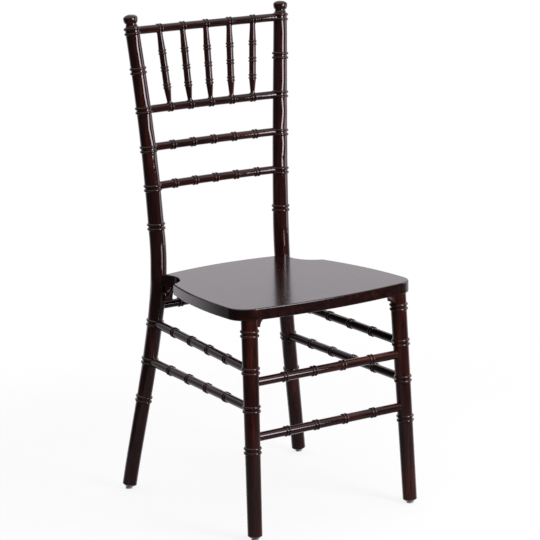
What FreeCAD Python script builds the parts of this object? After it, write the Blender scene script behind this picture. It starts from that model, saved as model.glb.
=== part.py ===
import FreeCAD
import Part
import math
import os

os.makedirs("parts", exist_ok=True)

V = FreeCAD.Vector

# All lengths are in millimetres. X runs to the right as one faces the chair, Y runs to its
# back and Z is up from the floor. Only the right half is described; the left half mirrors it.

# Overall sizes
CHAIR_HEIGHT = 915.5
SEAT_TOP = 425.0
SEAT_THICK = 21.5

# Clearances
GLUE_GAP = 0.1
SCREW_GAP = 0.1
# Wood left between the end of a tenon and the axis of the post or leg that holds it
TENON_STOP = 4.0

# Plan of the seat and where the posts and legs stand under it
SEAT_WIDTH = 385.6
SEAT_FRONT_Y = -215.0
POST_INSET = 52.4
POST_SETBACK = 378.4
LEG_INSET = 28.9
LEG_SETBACK = 30.8

# Rear posts: how far each point of the centre line stands outside and behind the waist, which
# is just over the seat. The foot is on the floor, the calf is level with the lowest double
# bead, the shin is under the seat, the loin is level with the first double bead over the
# seat, the back with the third, and the head is just under the crest's.
FOOT_OUT = 57.5
FOOT_BACK = 43.0
CALF_OUT = 30.7
CALF_BACK = 22.2
SHIN_OUT = 9.5
SHIN_BACK = 6.0
LOIN_OUT = 1.1
LOIN_BACK = 1.9
BACK_OUT = 7.9
BACK_BACK = 7.9
HEAD_OUT = 23.9
HEAD_BACK = 21.5
FOOT_RADIUS = 13.8
CALF_RADIUS = 14.1
SHIN_RADIUS = 14.8
WAIST_RADIUS = 15.6
LOIN_RADIUS = 15.3
BACK_RADIUS = 14.5
HEAD_RADIUS = 13.4
POST_FOOT_HEIGHT = 8.8
SHIN_DROP = 75.0
WAIST_RISE = 20.0
HEAD_DROP = 13.0

# Rings that follow the bend of the post where the seat and the brackets fit round it
POST_RING_COUNT = 7
# Where a bent span is guided between two double beads, as shares of the way
SPAN_SHARES = (0.35, 0.65)

# Double beads on the posts: the height of the lowest, the rise of the first one above the
# seat, and the distance of the crest's beads from the top of the chair
POST_BEAD_LOWEST = 179.6
BACK_BEAD_RISE = 90.4
CREST_BEADS_DROP = 31.0
LOW_BEAD_COUNT = 3
HIGH_BEAD_COUNT = 5

# Shape of the large double beads
BEAD_RADIUS = 2.7
BEAD_RISE = 2.4
BEAD_SPACING = 8.3
CREST_BEAD_SPACING = 9.2
COLLAR_HALF = 8.0

# Finial above the crest beads
NECK_RISE = 14.5
KNOB_RISE = 24.0
NECK_RADIUS = 10.2
KNOB_RADIUS = 13.8
SHOULDER_RISE = 7.8

# Front legs
LEG_SPLAY = 10.2
LEG_RAKE = 14.9
LEG_FOOT_HEIGHT = 7.6
LEG_TOP_RADIUS = 15.1
LEG_FOOT_RADIUS = 13.4
# Double beads on the legs, measured down from the seat's underside
LEG_BEAD_DROPS = (238.7, 162.9, 93.5, 26.1)
LEG_TENON_RADIUS = 10.0
LEG_TENON_LENGTH = 14.0
# Length turned above the seat's underside before the top of the leg is cut flat
LEG_WASTE = 6.0

# Feet
FOOT_CHAMFER = 4.6
FOOT_TIP_RADIUS = 7.8
GLIDE_RADIUS = 6.6
GLIDE_PIN_RADIUS = 2.0
GLIDE_PIN_LENGTH = 12.0

# Rails and stretchers
RAIL_RADIUS = 7.7
STRETCHER_RADIUS = 8.2
SMALL_BEAD_RADIUS = 2.1
SMALL_BEAD_RISE = 1.7
SMALL_BEAD_SPACING = 6.6
SMALL_COLLAR_HALF = 6.0
CREST_BEAD_PITCH = 52.3
RAIL_BEAD_PITCH = 46.5
BACK_BEAD_COUNT = 5
# Bow of the back rails, and the height of each over the middle of its post beads, from the
# crest rail down
RAIL_BOW = 8.0
RAIL_LIFTS = (0.3, -0.3, 2.1, 2.1)
SEAT_RAIL_DROP = 42.0
SEAT_RAIL_BEAD_PITCH = 62.8
SEAT_RAIL_COUNT = 4
# Distance of each front stretcher from the leg's double bead beside it
FRONT_BEAD_CLEAR = 22.4
FRONT_BEAD_PITCH = 63.8
FRONT_BEAD_COUNT = 4
SIDE_FIRST_SHARE = 0.222
SIDE_LAST_SHARE = 0.768
SIDE_BEAD_COUNT = 4

# Spindles between the crest rail and the rail below it
SPINDLE_COUNT = 5
SPINDLE_TOP_RADIUS = 5.5
SPINDLE_FOOT_RADIUS = 4.4
SPINDLE_RADIUS = 6.7
SPINDLE_TENON = 6.0
SPINDLE_BEAD_RADIUS = 1.9
SPINDLE_BEAD_RISE = 1.4
SPINDLE_BEAD_SPACING = 5.8
SPINDLE_BEAD_SHARES = (0.300, 0.515, 0.734)

# Seat board: bowed edges, round front corners, a hollow at each rear corner and a
# lobe behind the hollow that fits against the front of the post
SEAT_FRONT_BOW = 18.0
SEAT_SIDE_BOW = 11.4
SEAT_CORNER_RADIUS = 40.0
NOTCH_INSET = 23.6
NOTCH_LENGTH = 99.4
NOTCH_DEPTH = 22.0
LOBE_OUTER = 2.6
LOBE_INNER = 12.0
SEAT_BACK_BOW = 15.4
SEAT_EDGE_ROUND = 2.2

# Brackets and their screws
REAR_BRACKET_WIDTH = 16.0
REAR_BRACKET_REACH = 24.0
REAR_BRACKET_HEIGHT = 31.0
REAR_BRACKET_INSET = 12.0
FRONT_BRACKET_WIDTH = 18.0
FRONT_BRACKET_REACH = 9.0
FRONT_BRACKET_HEIGHT = 15.0
BRACKET_EDGE = 2.5
BRACKET_LAP = 9.0
SCREW_RADIUS = 2.0
SCREW_HEAD_RADIUS = 3.6
SCREW_HEAD_HEIGHT = 2.2
SCREW_POINT = 3.0
SCREW_LENGTH = 18.0
SCREW_SINK = 4.5

# Worked out from the sizes above
SEAT_UNDER = SEAT_TOP - SEAT_THICK
SEAT_CORNER_X = SEAT_WIDTH / 2
WAIST_X = SEAT_CORNER_X - POST_INSET
WAIST_Y = SEAT_FRONT_Y + POST_SETBACK
LEG_TOP_X = SEAT_CORNER_X - LEG_INSET
LEG_TOP_Y = SEAT_FRONT_Y + LEG_SETBACK
CREST_BEADS = CHAIR_HEIGHT - CREST_BEADS_DROP
HIGH_BEAD_PITCH = (CREST_BEADS - SEAT_TOP - BACK_BEAD_RISE) / HIGH_BEAD_COUNT
LOW_BEAD_PITCH = (SEAT_UNDER - POST_BEAD_LOWEST) / LOW_BEAD_COUNT
HEAD_HEIGHT = CREST_BEADS - HEAD_DROP
LEG_BEAD_HEIGHTS = [SEAT_UNDER - drop for drop in LEG_BEAD_DROPS]
FRONT_UPPER_HEIGHT = LEG_BEAD_HEIGHTS[2] - FRONT_BEAD_CLEAR
FRONT_LOWER_HEIGHT = LEG_BEAD_HEIGHTS[0] + FRONT_BEAD_CLEAR
# The crest rail, the spindle rail, and the mid and lower back rails
BACK_RAIL_HEIGHTS = [CREST_BEADS + RAIL_LIFTS[0]]
for number in range(1, len(RAIL_LIFTS)):
    beads_below = CREST_BEADS - (number + 1) * HIGH_BEAD_PITCH
    BACK_RAIL_HEIGHTS.append(beads_below + RAIL_LIFTS[number])


def lerp(a, b, t):
    return a + (b - a) * t


def save(name, shapes):
    # Writes one named piece, placed so that the chair's whole depth is centred on the origin
    shape = shapes[0] if len(shapes) == 1 else Part.makeCompound(shapes)
    base, up, radius = post_at(POST_FOOT_HEIGHT)
    rearmost = base.y + radius * math.sqrt(1 - up.y ** 2)
    placed = shape.copy()
    placed.translate(V(0, -(SEAT_FRONT_Y + rearmost) / 2, 0))
    print(name, len(placed.Solids), all(s.isValid() for s in placed.Solids), round(placed.Volume))
    placed.exportStep(os.path.join("parts", name + ".step"))


def mirrored(shape):
    # The same piece on the left side
    return shape.mirror(V(0, 0, 0), V(1, 0, 0))


def fused(pieces):
    joined = pieces[0].multiFuse(pieces[1:]).removeSplitter()
    return joined.Solids[0]


def radius_at(stations, d):
    # Radius of a straight turning between its stations
    for a, b in zip(stations[:-1], stations[1:]):
        if a[0] <= d <= b[0]:
            return lerp(a[1], b[1], (d - a[0]) / (b[0] - a[0]))
    return stations[-1][1]


def outline_edges(stations, beads):
    # Outline of a turning, with X as radius and Z as distance along it. A station is a
    # distance and a radius; a bead is a distance, a rise and the radius of its curve.
    edges = []
    here = V(stations[0][1], 0, stations[0][0])
    left = list(stations[1:])
    for d, rise, minor in sorted(beads):
        half = math.sqrt(minor ** 2 - (minor - rise) ** 2)
        while left and left[0][0] < d - half:
            point = V(left[0][1], 0, left[0][0])
            edges.append(Part.makeLine(here, point))
            here = point
            left.pop(0)
        start = V(radius_at(stations, d - half), 0, d - half)
        crest = V(radius_at(stations, d) + rise, 0, d)
        end = V(radius_at(stations, d + half), 0, d + half)
        edges.append(Part.makeLine(here, start))
        edges.append(Part.Arc(start, crest, end).toShape())
        here = end
    for d, r in left:
        point = V(r, 0, d)
        edges.append(Part.makeLine(here, point))
        here = point
    return edges, here


def spun(edges, last, base, axis):
    # Turns an open outline that ends at the point last into a solid about its axis
    foot = V(0, 0, edges[0].Vertexes[0].Point.z)
    head = V(0, 0, last.z)
    ring = [Part.makeLine(foot, edges[0].Vertexes[0].Point)] + edges
    if last.x > 0.001:
        ring.append(Part.makeLine(last, head))
    ring.append(Part.makeLine(head, foot))
    solid = Part.Face(Part.Wire(ring)).revolve(V(0, 0, 0), V(0, 0, 1), 360)
    solid.Placement = FreeCAD.Placement(base, FreeCAD.Rotation(V(0, 0, 1), axis))
    if solid.Volume < 0:
        solid.reverse()
    return solid


def turned(stations, beads, base, axis):
    edges, last = outline_edges(stations, beads)
    return spun(edges, last, base, axis)


def paired(d, rise, minor, spacing):
    # Two beads side by side
    return [(d - spacing / 2, rise, minor), (d + spacing / 2, rise, minor)]


def large_pair(d):
    return paired(d, BEAD_RISE, BEAD_RADIUS, BEAD_SPACING)


def small_pair(d):
    return paired(d, SMALL_BEAD_RISE, SMALL_BEAD_RADIUS, SMALL_BEAD_SPACING)


def post_stations():
    # Heights, places and radii that the centre line of the right post passes through
    rows = [(POST_FOOT_HEIGHT, FOOT_OUT, FOOT_BACK, FOOT_RADIUS),
            (POST_BEAD_LOWEST, CALF_OUT, CALF_BACK, CALF_RADIUS),
            (SEAT_UNDER - SHIN_DROP, SHIN_OUT, SHIN_BACK, SHIN_RADIUS),
            (SEAT_TOP + WAIST_RISE, 0.0, 0.0, WAIST_RADIUS),
            (SEAT_TOP + BACK_BEAD_RISE, LOIN_OUT, LOIN_BACK, LOIN_RADIUS),
            (CREST_BEADS - 3 * HIGH_BEAD_PITCH, BACK_OUT, BACK_BACK, BACK_RADIUS),
            (HEAD_HEIGHT, HEAD_OUT, HEAD_BACK, HEAD_RADIUS)]
    return [(height, WAIST_X + out, WAIST_Y + back, r) for height, out, back, r in rows]


def make_post_curve():
    curve = Part.BSplineCurve()
    curve.interpolate([V(x, y, z) for z, x, y, r in post_stations()])
    return curve


POST_CURVE = make_post_curve()


def post_at(height):
    # Point, upward direction and radius of the right post at a height
    lo = POST_CURVE.FirstParameter
    hi = POST_CURVE.LastParameter
    for step in range(50):
        mid = (lo + hi) / 2
        if POST_CURVE.value(mid).z < height:
            lo = mid
        else:
            hi = mid
    point = POST_CURVE.value(lo)
    up = V(POST_CURVE.tangent(lo)[0]).normalize()
    radius = radius_at([(s[0], s[3]) for s in post_stations()], height)
    return point + up * ((height - point.z) / up.z), up, radius


def post_bead_heights():
    low = [POST_BEAD_LOWEST + i * LOW_BEAD_PITCH for i in range(LOW_BEAD_COUNT)]
    high = [CREST_BEADS - i * HIGH_BEAD_PITCH for i in range(HIGH_BEAD_COUNT, 0, -1)]
    return low + high


def leg_line():
    # Foot, top and upward direction of the right front leg
    foot = V(LEG_TOP_X + LEG_SPLAY, LEG_TOP_Y - LEG_RAKE, LEG_FOOT_HEIGHT)
    top = V(LEG_TOP_X, LEG_TOP_Y, SEAT_UNDER)
    return foot, top, (top - foot).normalize()


def leg_at(height):
    foot, top, up = leg_line()
    t = (height - foot.z) / (top.z - foot.z)
    return foot + (top - foot) * t, up, lerp(LEG_FOOT_RADIUS, LEG_TOP_RADIUS, t)


def build_finial(base, up, radius):
    # Crest beads, a hollow neck and a flattened round knob
    lift = 1.0 / up.z
    beads = (CREST_BEADS - HEAD_HEIGHT) * lift
    shoulder = beads + SHOULDER_RISE
    neck = beads + NECK_RISE
    knob = beads + KNOB_RISE
    crown = (CHAIR_HEIGHT - HEAD_HEIGHT) * lift
    crest_pair = paired(beads, BEAD_RISE, BEAD_RADIUS, CREST_BEAD_SPACING)
    edges, last = outline_edges([(0.0, radius), (shoulder, radius)], crest_pair)
    cove = [last]
    ball = []
    dome = []
    steps = 6
    for i in range(1, steps + 1):
        a = math.pi / 2 * i / steps
        cove.append(V(lerp(radius, NECK_RADIUS, math.sin(a)), 0,
                      lerp(shoulder, neck, 1 - math.cos(a))))
        ball.append(V(lerp(NECK_RADIUS, KNOB_RADIUS, math.sin(a)), 0,
                      lerp(neck, knob, 1 - math.cos(a))))
        dome.append(V(KNOB_RADIUS * math.cos(a), 0, lerp(knob, crown, math.sin(a))))
    dome[-1] = V(0, 0, crown)
    hollow = Part.BSplineCurve()
    hollow.interpolate(cove)
    rounded = Part.BSplineCurve()
    rounded.interpolate([cove[-1]] + ball + dome)
    return spun(edges + [hollow.toShape(), rounded.toShape()], dome[-1], base, up)


def bent_span(sections):
    # Round length that follows a bend; a section is a point, a direction and a radius
    wires = [Part.Wire(Part.makeCircle(r, p, d)) for p, d, r in sections]
    return Part.makeLoft(wires, True, False)


def build_post():
    # Foot, then bent spans between straight bead collars, then the finial
    base, up, radius = post_at(POST_FOOT_HEIGHT)
    pieces = [turned([(-FOOT_CHAMFER, FOOT_TIP_RADIUS), (0.0, radius)], [], base, up)]
    start = (base, up, radius)
    floor = POST_FOOT_HEIGHT
    for height in post_bead_heights():
        point, along, r = post_at(height)
        half = along * COLLAR_HALF
        between = [lerp(floor, height, t) for t in SPAN_SHARES]
        middle = [post_at(z) for z in between]
        pieces.append(bent_span([start] + middle + [(point - half, along, r)]))
        pieces.append(turned([(0.0, r), (2 * COLLAR_HALF, r)], large_pair(COLLAR_HALF),
                             point - half, along))
        start = (point + half, along, r)
        floor = height
    top, along, r = post_at(HEAD_HEIGHT)
    pieces.append(bent_span([start, post_at(lerp(floor, HEAD_HEIGHT, 0.5)), (top, along, r)]))
    pieces.append(build_finial(top, along, r))
    return fused(pieces)


def build_leg():
    # Tapered turning with four double beads, cut flat under the seat, and a round tenon
    foot, top, up = leg_line()
    marks = []
    for height in LEG_BEAD_HEIGHTS:
        marks += large_pair((leg_at(height)[0] - foot).Length)
    stations = [(-FOOT_CHAMFER, FOOT_TIP_RADIUS), (0.0, LEG_FOOT_RADIUS),
                ((top - foot).Length + LEG_WASTE, LEG_TOP_RADIUS)]
    shank = turned(stations, marks, foot, up)
    room = 4 * LEG_TOP_RADIUS
    above = Part.makeBox(room, room, room, V(top.x - room / 2, top.y - room / 2, SEAT_UNDER))
    return fused([shank.cut(above), leg_tenon(0.0)])


def leg_tenon(gap):
    # The tenon on top of the front leg, or with a gap the hole that takes it
    foot, top, up = leg_line()
    root = LEG_TENON_RADIUS
    return Part.makeCylinder(LEG_TENON_RADIUS + gap, LEG_TENON_LENGTH + root, top - up * root, up)


def glide(base, up):
    # Plastic glide with its pin, cut flat where it meets the floor
    low = base - up * FOOT_CHAMFER
    disc = Part.makeCylinder(GLIDE_RADIUS, 2 * POST_FOOT_HEIGHT, low, up * -1)
    pin = Part.makeCylinder(GLIDE_PIN_RADIUS, GLIDE_PIN_LENGTH, low, up)
    room = 8 * GLIDE_RADIUS
    over = Part.makeBox(room, room, room, V(base.x - room / 2, base.y - room / 2, 0))
    return fused([disc, pin]).common(over).Solids[0]


def pin_hole(base, up):
    low = base - up * (FOOT_CHAMFER + GLIDE_PIN_RADIUS)
    depth = GLIDE_PIN_LENGTH + GLIDE_PIN_RADIUS
    return Part.makeCylinder(GLIDE_PIN_RADIUS + GLUE_GAP, depth, low, up)


def socket(stop, away, radius):
    # Hole from the end of a tenon out past the surface of the piece that holds it
    reach = 3 * WAIST_RADIUS
    return Part.makeCylinder(radius + GLUE_GAP, reach, stop, V(away).normalize())


def spread(count, pitch):
    return [(i - (count - 1) / 2.0) * pitch for i in range(count)]


def cross_bar(centre, half, places, radius):
    # Round bar across the chair, with its hole in the right post or leg
    start = V(-half, centre.y, centre.z)
    marks = []
    for x in places:
        marks += small_pair(x + half)
    bar = turned([(0.0, radius), (2 * half, radius)], marks, start, V(1, 0, 0))
    return bar, socket(V(half, centre.y, centre.z), V(-1, 0, 0), radius)


def build_seat_rail():
    # Straight rail between the posts under the back of the seat, and its hole
    point = post_at(SEAT_UNDER - SEAT_RAIL_DROP)[0]
    places = spread(SEAT_RAIL_COUNT, SEAT_RAIL_BEAD_PITCH)
    return cross_bar(point, point.x - TENON_STOP, places, RAIL_RADIUS)


def rail_at(height, x):
    # Point, direction and radius of a back rail, which bows back at right angles to the posts
    post, up, radius = post_at(height)
    behind = V(0, up.z, -up.y).normalize()
    share = x / post.x
    point = V(x, post.y, post.z) + behind * (RAIL_BOW * (1 - share ** 2))
    way = V(1, 0, 0) - behind * (2 * RAIL_BOW * share / post.x)
    return point, way.normalize(), RAIL_RADIUS


def build_back_rail(height, pitch):
    # Bowed rail: bent spans between bead collars, a straight tenon at each end, and its hole
    post, up, radius = post_at(height)
    shoulder, way, r = rail_at(height, post.x - radius)
    length = radius - TENON_STOP
    tenon = Part.makeCylinder(RAIL_RADIUS, length, shoulder, way)
    pieces = [tenon, mirrored(tenon)]
    start = rail_at(height, radius - post.x)
    previous = radius - post.x
    for x in spread(BACK_BEAD_COUNT, pitch):
        point, along, r = rail_at(height, x)
        half = along * SMALL_COLLAR_HALF
        pieces.append(bent_span([start, rail_at(height, (previous + x) / 2),
                                 (point - half, along, r)]))
        pieces.append(turned([(0.0, r), (2 * SMALL_COLLAR_HALF, r)],
                             small_pair(SMALL_COLLAR_HALF), point - half, along))
        start = (point + half, along, r)
        previous = x
    last = (previous + post.x - radius) / 2
    pieces.append(bent_span([start, rail_at(height, last), (shoulder, way, RAIL_RADIUS)]))
    return fused(pieces), socket(shoulder + way * length, way * -1, RAIL_RADIUS)


def build_front_stretcher(height):
    point = leg_at(height)[0]
    places = spread(FRONT_BEAD_COUNT, FRONT_BEAD_PITCH)
    return cross_bar(point, point.x - TENON_STOP, places, STRETCHER_RADIUS)


def build_side_stretcher(post_height, leg_height):
    # Round bar from the post's bead pair to the leg's, with a hole in each
    rear = post_at(post_height)[0]
    front = leg_at(leg_height)[0]
    axis = (front - rear).normalize()
    span = (front - rear).Length
    start = rear + axis * TENON_STOP
    end = front - axis * TENON_STOP
    marks = []
    for i in range(SIDE_BEAD_COUNT):
        t = lerp(SIDE_FIRST_SHARE, SIDE_LAST_SHARE, i / (SIDE_BEAD_COUNT - 1))
        marks += small_pair(t * span - TENON_STOP)
    bar = turned([(0.0, STRETCHER_RADIUS), ((end - start).Length, STRETCHER_RADIUS)], marks,
                 start, axis)
    return bar, socket(start, axis, STRETCHER_RADIUS), socket(end, axis * -1, STRETCHER_RADIUS)


def build_spindle(index):
    # Turned spindle and the hole it needs in each of its rails
    crest = rail_at(BACK_RAIL_HEIGHTS[0], spread(SPINDLE_COUNT, CREST_BEAD_PITCH)[index])[0]
    rail = rail_at(BACK_RAIL_HEIGHTS[1], spread(SPINDLE_COUNT, RAIL_BEAD_PITCH)[index])[0]
    axis = (rail - crest).normalize()
    length = (rail - crest).Length
    first = RAIL_RADIUS - SPINDLE_TENON
    last = length - first
    places = [length * share for share in SPINDLE_BEAD_SHARES]
    marks = []
    for d in places:
        marks += paired(d, SPINDLE_BEAD_RISE, SPINDLE_BEAD_RADIUS, SPINDLE_BEAD_SPACING)
    stations = [(first, SPINDLE_TOP_RADIUS), (2 * RAIL_RADIUS, SPINDLE_TOP_RADIUS),
                (places[0] - SPINDLE_BEAD_SPACING, SPINDLE_RADIUS),
                (places[2] + SPINDLE_BEAD_SPACING, SPINDLE_RADIUS),
                (length - 1.5 * RAIL_RADIUS, SPINDLE_FOOT_RADIUS), (last, SPINDLE_FOOT_RADIUS)]
    body = turned(stations, marks, crest, axis)
    upper = Part.makeCylinder(SPINDLE_TOP_RADIUS + GLUE_GAP, 2 * RAIL_RADIUS,
                              crest + axis * first, axis)
    lower = Part.makeCylinder(SPINDLE_FOOT_RADIUS + GLUE_GAP, 2 * RAIL_RADIUS,
                              crest + axis * last, axis * -1)
    return body, upper, lower


def arc_by_bow(a, b, bow):
    # Arc from a to b that bulges to the right of the way from a to b, as seen from above
    way = (b - a).normalize()
    side = V(way.y, -way.x, 0)
    return Part.Arc(a, (a + b) * 0.5 + side * bow, b).toShape()


def stands_at(edge, place):
    # Whether both ends of an edge lie over a place
    return all(math.hypot(v.X - place.x, v.Y - place.y) < GLUE_GAP for v in edge.Vertexes)


def build_seat():
    # Board outline from the front corner round to the middle of the back, then mirrored
    post = post_at(SEAT_TOP)[0]
    radius = post_at(SEAT_TOP)[2]
    corner = V(SEAT_CORNER_X, SEAT_FRONT_Y + SEAT_FRONT_BOW, 0)
    tip = V(SEAT_CORNER_X - NOTCH_INSET, WAIST_Y - NOTCH_LENGTH, 0)
    lobe = V(post.x + LOBE_OUTER, post.y - radius, 0)
    lobe_back = V(post.x - LOBE_INNER, post.y - radius, 0)
    sides = [arc_by_bow(corner, tip, SEAT_SIDE_BOW), arc_by_bow(tip, lobe, -NOTCH_DEPTH),
             Part.makeLine(lobe, lobe_back)]
    left_corner = V(-corner.x, corner.y, 0)
    front = arc_by_bow(left_corner, corner, SEAT_FRONT_BOW)
    back = arc_by_bow(lobe_back, V(-lobe_back.x, lobe_back.y, 0), SEAT_BACK_BOW)
    edges = sides + [mirrored(e) for e in sides] + [front, back]
    board = Part.Face(Part.Wire(Part.__sortEdges__(edges))).extrude(V(0, 0, SEAT_THICK))
    board.translate(V(0, 0, SEAT_UNDER))
    corners = [e for e in board.Edges if stands_at(e, corner) or stands_at(e, left_corner)]
    board = board.makeFillet(SEAT_CORNER_RADIUS, corners)
    rims = [e for e in board.Edges if e.BoundBox.ZLength < GLUE_GAP]
    return board.makeFillet(SEAT_EDGE_ROUND, rims)


def post_room(low, high):
    # Space that the bent right post takes up between two heights, with the glue gap round it
    wires = []
    for i in range(POST_RING_COUNT):
        point, up, radius = post_at(lerp(low, high, i / (POST_RING_COUNT - 1)))
        wires.append(Part.Wire(Part.makeCircle(radius + GLUE_GAP, point, up)))
    return Part.makeLoft(wires, True, False)


def cove_block(root, tip, height, width):
    # Block under the seat, square at the root and hollowed from the tip down to the root;
    # root and tip are points under the seat at the middle of its width
    out = (tip - root).normalize()
    side = V(out.y, -out.x, 0) * width
    down = V(0, 0, -1)
    lap = root - out * BRACKET_LAP
    lip = tip + down * BRACKET_EDGE
    heel = root + out * BRACKET_EDGE + down * height
    mid = V(lerp(lip.x, heel.x, 0.70), lerp(lip.y, heel.y, 0.70), lerp(lip.z, heel.z, 0.32))
    edges = [Part.makeLine(lap, tip), Part.makeLine(tip, lip),
             Part.Arc(lip, mid, heel).toShape(), Part.makeLine(heel, lap + down * height),
             Part.makeLine(lap + down * height, lap)]
    block = Part.Face(Part.Wire(edges)).extrude(side)
    block.translate(side * -0.5)
    return block


def largest(shape):
    return max(shape.Solids, key=lambda s: s.Volume)


def rear_bracket_places():
    # Root against the post's front, and tip under the seat, of the right rear bracket
    post, up, radius = post_at(SEAT_UNDER)
    x = post.x - REAR_BRACKET_INSET
    return V(x, post.y - radius, SEAT_UNDER), V(x, post.y - radius - REAR_BRACKET_REACH, SEAT_UNDER)


def build_rear_bracket():
    root, tip = rear_bracket_places()
    block = cove_block(root, tip, REAR_BRACKET_HEIGHT, REAR_BRACKET_WIDTH)
    low = SEAT_UNDER - 1.5 * REAR_BRACKET_HEIGHT
    return largest(block.cut(post_room(low, SEAT_TOP)))


def build_front_bracket():
    foot, top, up = leg_line()
    root = top - V(LEG_TOP_RADIUS, 0, 0)
    tip = root - V(FRONT_BRACKET_REACH, 0, 0)
    block = cove_block(root, tip, FRONT_BRACKET_HEIGHT, FRONT_BRACKET_WIDTH)
    low, low_up, low_radius = leg_at(SEAT_UNDER - 2 * FRONT_BRACKET_HEIGHT)
    room = Part.makeCone(low_radius + GLUE_GAP, LEG_TOP_RADIUS + GLUE_GAP,
                         3 * FRONT_BRACKET_HEIGHT, low, up)
    return largest(block.cut(room))


def screw_lines():
    # Head place and direction of the two screws of the right rear bracket
    root, tip = rear_bracket_places()
    seat_head = (root + tip) * 0.5 - V(0, 0, SCREW_SINK + BRACKET_EDGE)
    post = post_at(SEAT_UNDER - 0.55 * REAR_BRACKET_HEIGHT)[0]
    way = V(REAR_BRACKET_INSET / 2, WAIST_RADIUS, 0).normalize()
    post_head = post - way * (WAIST_RADIUS + SCREW_SINK)
    return [(seat_head, V(0, 0, 1)), (post_head, way)]


def screw(head, way):
    stations = [(0.0, SCREW_HEAD_RADIUS), (SCREW_HEAD_HEIGHT, SCREW_RADIUS),
                (SCREW_LENGTH - SCREW_POINT, SCREW_RADIUS), (SCREW_LENGTH, SCREW_RADIUS / 4)]
    return turned(stations, [], head, way)


def screw_hole(head, way):
    g = SCREW_GAP
    stations = [(-SCREW_LENGTH, SCREW_HEAD_RADIUS + g), (0.0, SCREW_HEAD_RADIUS + g),
                (SCREW_HEAD_HEIGHT, SCREW_RADIUS + g),
                (SCREW_LENGTH - SCREW_POINT, SCREW_RADIUS + g),
                (SCREW_LENGTH + g, SCREW_RADIUS / 4 + g)]
    return turned(stations, [], head, way)


def drilled(shape, holes):
    for hole in holes:
        shape = shape.cut(hole)
    return largest(shape)


def save_pair(name, shape):
    # The same piece for the right and left sides
    save(name.replace("SIDE", "right"), [shape])
    save(name.replace("SIDE", "left"), [mirrored(shape)])


lower_post_beads, upper_post_beads = post_bead_heights()[LOW_BEAD_COUNT - 2:LOW_BEAD_COUNT]
rail_pitches = [CREST_BEAD_PITCH] + [RAIL_BEAD_PITCH] * (len(BACK_RAIL_HEIGHTS) - 1)
rails = [build_back_rail(h, pitch) for h, pitch in zip(BACK_RAIL_HEIGHTS, rail_pitches)]
crest_rail = rails[0][0]
spindle_rail = rails[1][0]
seat_rail, seat_rail_hole = build_seat_rail()
front_upper, front_upper_hole = build_front_stretcher(FRONT_UPPER_HEIGHT)
front_lower, front_lower_hole = build_front_stretcher(FRONT_LOWER_HEIGHT)
side_upper, upper_post_hole, upper_leg_hole = build_side_stretcher(upper_post_beads,
                                                                   LEG_BEAD_HEIGHTS[2])
side_lower, lower_post_hole, lower_leg_hole = build_side_stretcher(lower_post_beads,
                                                                   LEG_BEAD_HEIGHTS[1])

spindles = []
for index in range(SPINDLE_COUNT):
    spindle, crest_drill, rail_drill = build_spindle(index)
    spindles.append(spindle)
    crest_rail = crest_rail.cut(crest_drill)
    spindle_rail = spindle_rail.cut(rail_drill)

screws = [screw(*line) for line in screw_lines()]
screw_holes = [screw_hole(*line) for line in screw_lines()]
rear_bracket = drilled(build_rear_bracket(), screw_holes)
front_bracket = build_front_bracket()

post_base, post_up, post_base_radius = post_at(POST_FOOT_HEIGHT)
leg_up = leg_line()[2]
leg_base = leg_line()[0]
post_holes = [seat_rail_hole, upper_post_hole, lower_post_hole, screw_holes[1],
              pin_hole(post_base, post_up)]
post = drilled(build_post(), post_holes + [hole for rail, hole in rails])
leg = drilled(build_leg(), [front_upper_hole, front_lower_hole, upper_leg_hole, lower_leg_hole,
                            pin_hole(leg_base, leg_up)])
seat_cuts = [leg_tenon(GLUE_GAP), post_room(SEAT_UNDER - SEAT_THICK, SEAT_TOP + SEAT_THICK),
             screw_holes[0]]
seat = drilled(build_seat(), seat_cuts + [mirrored(cut) for cut in seat_cuts])

save_pair("rear_post_SIDE", post)
save_pair("front_leg_SIDE", leg)
save("seat_board", [seat])
save("crest_rail", [crest_rail])
save("spindle_rail", [spindle_rail])
save("mid_back_rail", [rails[2][0]])
save("lower_back_rail", [rails[3][0]])
save("rear_seat_rail", [seat_rail])
for number, spindle in enumerate(spindles, start=1):
    save("spindle_" + str(number), [spindle])
save("front_stretcher_upper", [front_upper])
save("front_stretcher_lower", [front_lower])
save_pair("side_stretcher_SIDE_upper", side_upper)
save_pair("side_stretcher_SIDE_lower", side_lower)
save_pair("rear_bracket_SIDE", rear_bracket)
save_pair("front_bracket_SIDE", front_bracket)
save("bracket_screws", screws + [mirrored(piece) for piece in screws])
save_pair("rear_glide_SIDE", glide(post_base, post_up))
save_pair("front_glide_SIDE", glide(leg_base, leg_up))
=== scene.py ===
import bpy
import math
import numpy as np
from mathutils import Matrix, Vector

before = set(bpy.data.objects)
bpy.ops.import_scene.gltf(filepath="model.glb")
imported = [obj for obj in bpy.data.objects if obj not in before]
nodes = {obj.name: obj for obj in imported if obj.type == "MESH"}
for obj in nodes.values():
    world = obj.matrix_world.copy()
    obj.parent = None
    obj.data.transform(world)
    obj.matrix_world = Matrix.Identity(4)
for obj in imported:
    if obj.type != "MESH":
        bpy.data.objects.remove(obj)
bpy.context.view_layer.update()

# The camera, in the chair's own frame: place in metres, angles in degrees, and the lens and the
# picture's centre in pixels
IMAGE_SIDE = 540
CAMERA_PLACE = Vector((-2.3168, -3.5284, 1.3601))
CAMERA_AZIMUTH = -33.37
CAMERA_ELEVATION = 12.31
CAMERA_ROLL = -1.50
FOCAL_PIXELS = 2310.0
CENTRE_OFF_RIGHT = 0.55
CENTRE_OFF_DOWN = -0.64
SENSOR = 36.0
FAR_CLIP = 100.0

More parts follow.
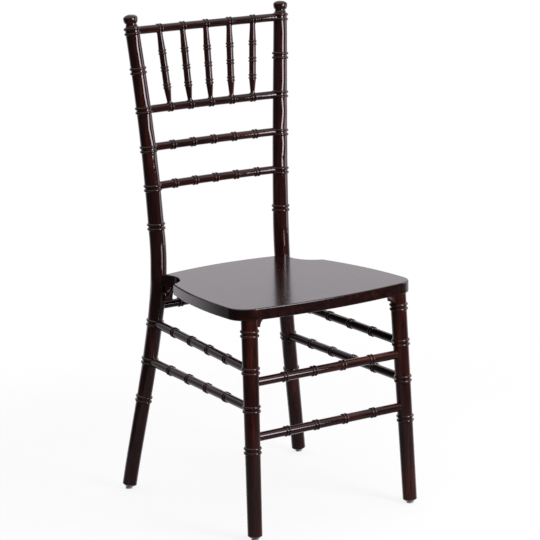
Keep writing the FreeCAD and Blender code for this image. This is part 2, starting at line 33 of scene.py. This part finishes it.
# Floor: a thin white layer, as opaque as its body in the middle, that fades out to its rim from a
# share of its radius on
FLOOR_RADIUS = 1.3
FLOOR_SIDES = 96
FLOOR_FADE = 0.45
FLOOR_BODY = 0.18
FLOOR_COLOUR = (0.93, 0.93, 0.93, 1.0)
FLOOR_ROUGHNESS = 0.9

# Room light: its strength in front of the chair, behind it and above. The ranges say where the
# latter two take over, by how much of a direction points to the back of the picture, or up.
SKY_FRONT = 0.06
SKY_BACK = 1.0
SKY_TOP = 1.0
SKY_BACK_RANGE = (0.26, 0.66)
SKY_TOP_RANGE = (0.35, 0.85)
ROOM_COLOUR = (1.0, 0.965, 1.02, 1.0)
BACKDROP_COLOUR = (1.0, 1.0, 1.0, 1.0)
SOFTBOX_COLOUR = (1.0, 0.93, 1.0)

# Wood. Each noise is given by its scale, detail and roughness, and each colour by the noise value
# where it lies.
GRAIN_ALONG = 2.2
GRAIN_ACROSS = 26.0
STREAKS = (3.0, 6.0, 0.6)
STAIN = [(0.30, (0.012, 0.0036, 0.0030)),
         (0.55, (0.030, 0.0080, 0.0058)),
         (0.72, (0.085, 0.0160, 0.0085))]
PORES = (14.0, 3.0, 0.5)
PORE_SHADES = [(0.36, (0.45, 0.45, 0.45)), (0.44, (1.0, 1.0, 1.0))]
PORE_DEPTH = 0.0003
PORE_RELIEF = 0.25
# Crests and edges are lighter by how sharply the surface turns outward there: partly stain rubbed
# thin, partly a painted highlight on the bead crests
WEAR_AND_HIGHLIGHT_RANGE = (0.52, 0.62)
EDGE_WEAR_AND_HIGHLIGHT = 0.45
THIN_STAIN_AND_HIGHLIGHT = (0.11, 0.028, 0.014)
# Clear coat and, under it, the bare stain
COAT_ROUGHNESS = 0.055
COAT_IOR = 1.5
STAIN_ROUGHNESS = 0.5
# The seat board's coat is less smooth and its stain darker
SEAT_COAT_ROUGHNESS = 0.17
SEAT_DEPTH = 0.5

# Scuffs on glides and screws, and the noise values between which colour and shine change
SCUFFS = (260.0, 5.0, 0.7)
SCUFF_COLOURS = (0.35, 0.6)
SCUFF_SHINE = (0.35, 0.65)

# Axis of each kind of turned piece, and in how many straight steps its middle is followed. The
# first kind that a piece's name holds counts.
TURNED = {"rear_post": (2, 30), "front_leg": (2, 1), "spindle_rail": (0, 12),
          "spindle": (2, 1), "rear_seat_rail": (0, 1), "rail": (0, 12),
          "front_stretcher": (0, 1), "side_stretcher": (1, 1)}
LINE_PASSES = 3

# A mix node's sockets for colours: its two inputs and its result
MIX_FIRST, MIX_SECOND, MIX_RESULT = 6, 7, 2


def direction(azimuth, elevation=0.0):
    # Unit vector away from the chair; azimuth 0 is in front of it and 90 to its right
    a = math.radians(azimuth)
    e = math.radians(elevation)
    return Vector((math.sin(a) * math.cos(e), -math.cos(a) * math.cos(e), math.sin(e)))


def facing(place, back):
    # Placement of a camera or light at a place, with its back turned along a direction
    return Matrix.Translation(place) @ back.to_track_quat("Z", "Y").to_matrix().to_4x4()


def add_object(name, data):
    obj = bpy.data.objects.new(name, data)
    bpy.context.scene.collection.objects.link(obj)
    return obj


def make_camera():
    data = bpy.data.cameras.new("camera")
    data.sensor_width = SENSOR
    data.lens = SENSOR * FOCAL_PIXELS / IMAGE_SIDE
    data.shift_x = -CENTRE_OFF_RIGHT / IMAGE_SIDE
    data.shift_y = CENTRE_OFF_DOWN / IMAGE_SIDE
    data.clip_end = FAR_CLIP
    camera = add_object("camera", data)
    roll = Matrix.Rotation(math.radians(CAMERA_ROLL), 4, "Z")
    back = direction(CAMERA_AZIMUTH, CAMERA_ELEVATION)
    camera.matrix_world = facing(CAMERA_PLACE, back) @ roll
    bpy.context.scene.camera = camera


class Tree:
    # A node tree with short ways to add and join nodes
    def __init__(self, tree):
        self.tree = tree
        self.tree.nodes.clear()

    def add(self, kind, **values):
        node = self.tree.nodes.new(kind)
        for key, value in values.items():
            setattr(node, key, value)
        return node

    def set(self, node, **values):
        for key, value in values.items():
            node.inputs[key.replace("_", " ")].default_value = value

    def join(self, a, a_out, b, b_in):
        self.tree.links.new(a.outputs[a_out], b.inputs[b_in])

    def vector(self, operation, *sources):
        # Vector arithmetic on what other nodes give, each named with its output
        node = self.add("ShaderNodeVectorMath", operation=operation)
        for socket, (source, out) in enumerate(sources):
            self.join(source, out, node, socket)
        return node

    def ranged(self, source, out, before, after, **values):
        # A value moved from one range into another
        node = self.add("ShaderNodeMapRange", **values)
        self.set(node, From_Min=before[0], From_Max=before[1], To_Min=after[0], To_Max=after[1])
        self.join(source, out, node, "Value")
        return node


class Graph(Tree):
    # A material of one shader and the nodes that feed it
    def __init__(self, name):
        self.material = bpy.data.materials.new(name)
        self.material.use_nodes = True
        super().__init__(self.material.node_tree)
        self.shader = self.add("ShaderNodeBsdfPrincipled")
        out = self.add("ShaderNodeOutputMaterial")
        self.join(self.shader, "BSDF", out, "Surface")

    def stretched(self, scale):
        # Object coordinates, scaled along each axis of the chair
        coords = self.add("ShaderNodeTexCoord")
        mapping = self.add("ShaderNodeMapping")
        self.set(mapping, Scale=scale)
        self.join(coords, "Object", mapping, "Vector")
        return mapping

    def noise(self, source, scale, detail, roughness):
        node = self.add("ShaderNodeTexNoise")
        self.set(node, Scale=scale, Detail=detail, Roughness=roughness)
        self.join(source, "Vector", node, "Vector")
        return node

    def ramp(self, source, out, stops):
        node = self.add("ShaderNodeValToRGB")
        elements = node.color_ramp.elements
        while len(elements) < len(stops):
            elements.new(0.5)
        for element, (place, colour) in zip(elements, stops):
            element.position = place
            element.color = (*colour, 1.0)
        self.join(source, out, node, "Fac")
        return node


def make_wood(name, along, coat_roughness=COAT_ROUGHNESS, depth=1.0):
    # Dark stained wood under a glossy clear coat, grain along one axis of the chair. Depth
    # under 1 gives a darker stain.
    g = Graph(name)
    place = g.stretched([GRAIN_ALONG if axis == along else GRAIN_ACROSS for axis in "XYZ"])
    streaks = g.noise(place, *STREAKS)
    stain = g.ramp(streaks, "Fac", [(at, [depth * c for c in colour]) for at, colour in STAIN])
    # Pores: short dark lines along the grain
    pores = g.noise(place, *PORES)
    pore_lines = g.ramp(pores, "Fac", PORE_SHADES)
    porous = g.add("ShaderNodeMix", data_type="RGBA", blend_type="MULTIPLY")
    g.set(porous, Factor=1.0)
    g.join(stain, "Color", porous, MIX_FIRST)
    g.join(pore_lines, "Color", porous, MIX_SECOND)
    # The stain is lighter on the crests of the beads and along edges: partly rubbed thin, partly
    # a painted highlight
    shape = g.add("ShaderNodeNewGeometry")
    wear_and_highlight = g.ranged(shape, "Pointiness", WEAR_AND_HIGHLIGHT_RANGE, (0.0, EDGE_WEAR_AND_HIGHLIGHT))
    rubbed_and_highlit = g.add("ShaderNodeMix", data_type="RGBA")
    g.join(wear_and_highlight, "Result", rubbed_and_highlit, "Factor")
    g.join(porous, MIX_RESULT, rubbed_and_highlit, MIX_FIRST)
    rubbed_and_highlit.inputs[MIX_SECOND].default_value = (*[depth * c for c in THIN_STAIN_AND_HIGHLIGHT], 1.0)
    g.join(rubbed_and_highlit, MIX_RESULT, g.shader, "Base Color")
    relief = g.add("ShaderNodeBump")
    g.set(relief, Strength=PORE_RELIEF, Distance=PORE_DEPTH)
    g.join(pores, "Fac", relief, "Height")
    g.join(relief, "Normal", g.shader, "Normal")
    g.set(g.shader, Roughness=STAIN_ROUGHNESS, Specular_IOR_Level=0.0, Coat_Weight=1.0,
          Coat_Roughness=coat_roughness, Coat_IOR=COAT_IOR)
    return g.material


def make_worn(name, light, dark, metallic, smooth, rough):
    # Plastic or metal with fine scuffs that change its colour and its shine
    g = Graph(name)
    scuffs = g.noise(g.stretched([1.0, 1.0, 1.0]), *SCUFFS)
    colour = g.ramp(scuffs, "Fac", list(zip(SCUFF_COLOURS, (dark, light))))
    shine = g.ranged(scuffs, "Fac", SCUFF_SHINE, (rough, smooth))
    g.join(colour, "Color", g.shader, "Base Color")
    g.join(shine, "Result", g.shader, "Roughness")
    g.set(g.shader, Metallic=metallic)
    return g.material


def dress(node, material):
    materials = nodes[node].data.materials
    materials.clear()
    materials.append(material)


def dress_chair():
    upright = make_wood("wood_upright", "Z")
    across = make_wood("wood_across", "X")
    rearward = make_wood("wood_rearward", "Y")
    seat = make_wood("wood_seat", "Y", SEAT_COAT_ROUGHNESS, SEAT_DEPTH)
    pale = make_worn("glide_pale", light=(0.58, 0.57, 0.55), dark=(0.42, 0.41, 0.39),
                     metallic=0.0, smooth=0.35, rough=0.6)
    steel = make_worn("screw_steel", light=(0.55, 0.54, 0.52), dark=(0.32, 0.31, 0.30),
                      metallic=1.0, smooth=0.25, rough=0.5)
    for name in nodes:
        if "glide" in name:
            dress(name, pale)
        elif "screw" in name:
            dress(name, steel)
        elif name == "seat_board":
            dress(name, seat)
        elif "side_stretcher" in name:
            dress(name, rearward)
        elif "rail" in name or "stretcher" in name:
            dress(name, across)
        else:
            dress(name, upright)


def read_vectors(items, key):
    values = np.empty(len(items) * 3)
    items.foreach_get(key, values)
    return values.reshape(-1, 3)


def centre_line(mesh, axis, steps):
    # Middle of a turned piece, found as the line that all its surface normals point at. It runs
    # in straight steps between knots that are evenly spaced along the piece's axis.
    points = read_vectors(mesh.vertices, "co")
    normals = read_vectors(mesh.vertices, "normal")
    one, two = [i for i in range(3) if i != axis]
    count = steps + 1
    knots = np.linspace(points[:, axis].min(), points[:, axis].max(), count)
    # The step that each point lies beside, and how far along that step
    share = (points[:, axis] - knots[0]) / (knots[1] - knots[0])
    first = np.clip(share.astype(int), 0, steps - 1)
    share -= first
    # Rows that keep the line smooth: no knot strays from the middle of its neighbours
    bend = np.zeros((2 * (steps - 1), 2 * count))
    for half in range(2):
        for i in range(steps - 1):
            start = half * count + i
            bend[half * (steps - 1) + i, start:start + 3] = (1.0, -2.0, 1.0)
    # The tangents depend on the line, so it is found in a few passes
    rows = np.arange(len(points))
    tangents = np.zeros((steps, 3))
    tangents[:, axis] = 1.0
    line = np.zeros((count, 3))
    line[:, axis] = knots
    for _ in range(LINE_PASSES):
        side = np.cross(normals, tangents[first])
        aim = np.zeros((len(points), 2 * count))
        for start, across in ((0, one), (count, two)):
            aim[rows, start + first] = side[:, across] * (1 - share)
            aim[rows, start + first + 1] = side[:, across] * share
        goal = side[:, one] * points[:, one] + side[:, two] * points[:, two]
        goal = np.concatenate([goal, np.zeros(len(bend))])
        found = np.linalg.lstsq(np.vstack([aim, bend]), goal, rcond=None)[0]
        line[:, one] = found[:count]
        line[:, two] = found[count:]
        tangents = np.diff(line, axis=0)
        tangents /= np.linalg.norm(tangents, axis=1)[:, None]
    return line


def turn_normals(obj, axis, steps):
    # Lets a turned piece shine as a true round: its shading normals lose the part that points
    # round its middle. No vertex moves.
    line = centre_line(obj.data, axis, steps)
    group = bpy.data.node_groups.new("round_" + obj.name, "GeometryNodeTree")
    for way in ("INPUT", "OUTPUT"):
        group.interface.new_socket("Geometry", in_out=way, socket_type="NodeSocketGeometry")
    t = Tree(group)
    source = t.add("NodeGroupInput")
    result = t.add("NodeGroupOutput")
    middle = t.add("GeometryNodeJoinGeometry")
    for start, end in zip(line[:-1], line[1:]):
        step = t.add("GeometryNodeMeshLine", mode="END_POINTS")
        t.set(step, Count=2, Start_Location=start, Offset=end)
        t.join(step, "Mesh", middle, "Geometry")
    near = t.add("GeometryNodeProximity", target_element="EDGES")
    t.join(middle, "Geometry", near, 0)
    place = t.add("GeometryNodeInputPosition")
    normal = t.add("GeometryNodeInputNormal")
    outward = t.vector("SUBTRACT", (place, "Position"), (near, "Position"))
    round_way = t.vector("CROSS_PRODUCT", (outward, "Vector"))
    round_way.inputs[1].default_value = line[-1] - line[0]
    unit = t.vector("NORMALIZE", (round_way, "Vector"))
    stray = t.vector("DOT_PRODUCT", (normal, "Normal"), (unit, "Vector"))
    excess = t.vector("SCALE", (unit, "Vector"))
    t.join(stray, "Value", excess, "Scale")
    mended = t.vector("SUBTRACT", (normal, "Normal"), (excess, "Vector"))
    normal_set = t.add("GeometryNodeSetMeshNormal", mode="FREE", domain="CORNER")
    t.join(source, "Geometry", normal_set, "Mesh")
    t.join(mended, "Vector", normal_set, "Custom Normal")
    t.join(normal_set, "Mesh", result, "Geometry")
    obj.modifiers.new("round", "NODES").node_group = group


def smooth_turned():
    for name, obj in nodes.items():
        for kind, (axis, steps) in TURNED.items():
            if kind in name:
                turn_normals(obj, axis, steps)
                break


def make_floor():
    # White floor round the chair that fades out into the white backdrop
    turns = [2 * math.pi * i / FLOOR_SIDES for i in range(FLOOR_SIDES)]
    rim = [(FLOOR_RADIUS * math.cos(turn), FLOOR_RADIUS * math.sin(turn), 0.0)
           for turn in turns]
    mesh = bpy.data.meshes.new("floor")
    mesh.from_pydata(rim, [], [tuple(range(FLOOR_SIDES))])
    floor = add_object("floor", mesh)
    g = Graph("floor_white")
    g.set(g.shader, Base_Color=FLOOR_COLOUR, Roughness=FLOOR_ROUGHNESS)
    coords = g.add("ShaderNodeTexCoord")
    away = g.vector("LENGTH", (coords, "Object"))
    fade = g.ranged(away, "Value", (FLOOR_FADE * FLOOR_RADIUS, FLOOR_RADIUS), (FLOOR_BODY, 0.0),
                    interpolation_type="SMOOTHSTEP")
    g.join(fade, "Result", g.shader, "Alpha")
    mesh.materials.append(g.material)


def make_world():
    # White backdrop; light from behind the chair and above, and little from in front of it
    world = bpy.data.worlds.new("studio")
    bpy.context.scene.world = world
    world.use_nodes = True
    sky = Tree(world.node_tree)
    coords = sky.add("ShaderNodeTexCoord")
    parts = sky.add("ShaderNodeSeparateXYZ")
    sky.join(coords, "Generated", parts, "Vector")
    away = sky.vector("DOT_PRODUCT", (coords, "Generated"))
    away.inputs[1].default_value = -direction(CAMERA_AZIMUTH)
    level = sky.ranged(away, "Value", SKY_BACK_RANGE, (SKY_FRONT, SKY_BACK),
                       interpolation_type="SMOOTHSTEP")
    above = sky.ranged(parts, "Z", SKY_TOP_RANGE, (0.0, 1.0), interpolation_type="SMOOTHSTEP")
    strength = sky.add("ShaderNodeMix", data_type="FLOAT")
    sky.join(above, "Result", strength, "Factor")
    sky.join(level, "Result", strength, "A")
    sky.set(strength, B=SKY_TOP)
    room = sky.add("ShaderNodeBackground")
    sky.set(room, Color=ROOM_COLOUR)
    sky.join(strength, "Result", room, "Strength")
    backdrop = sky.add("ShaderNodeBackground")
    sky.set(backdrop, Color=BACKDROP_COLOUR)
    path = sky.add("ShaderNodeLightPath")
    seen = sky.add("ShaderNodeMixShader")
    out = sky.add("ShaderNodeOutputWorld")
    sky.join(path, "Is Camera Ray", seen, 0)
    sky.join(room, 0, seen, 1)
    sky.join(backdrop, 0, seen, 2)
    sky.join(seen, 0, out, "Surface")


def make_softbox(name, azimuth, distance, low, high, width, radiance):
    # Upright softbox that faces the chair. Its power is its radiance times pi times its area.
    area = width * (high - low)
    data = bpy.data.lights.new(name, "AREA")
    data.shape = "RECTANGLE"
    data.size = width
    data.size_y = high - low
    data.energy = radiance * math.pi * area
    data.color = SOFTBOX_COLOUR
    light = add_object(name, data)
    back = direction(azimuth)
    light.matrix_world = facing(back * distance + Vector((0.0, 0.0, (low + high) / 2)), back)
    light.visible_camera = False


make_camera()
dress_chair()
smooth_turned()
make_floor()
make_world()
make_softbox("softbox_front", azimuth=19.0, distance=1.9, low=0.48, high=1.7, width=0.75,
             radiance=12.5)
make_softbox("softbox_right", azimuth=72.0, distance=2.2, low=0.10, high=1.6, width=0.9,
             radiance=2.5)
bpy.context.scene.view_settings.view_transform = "Standard"
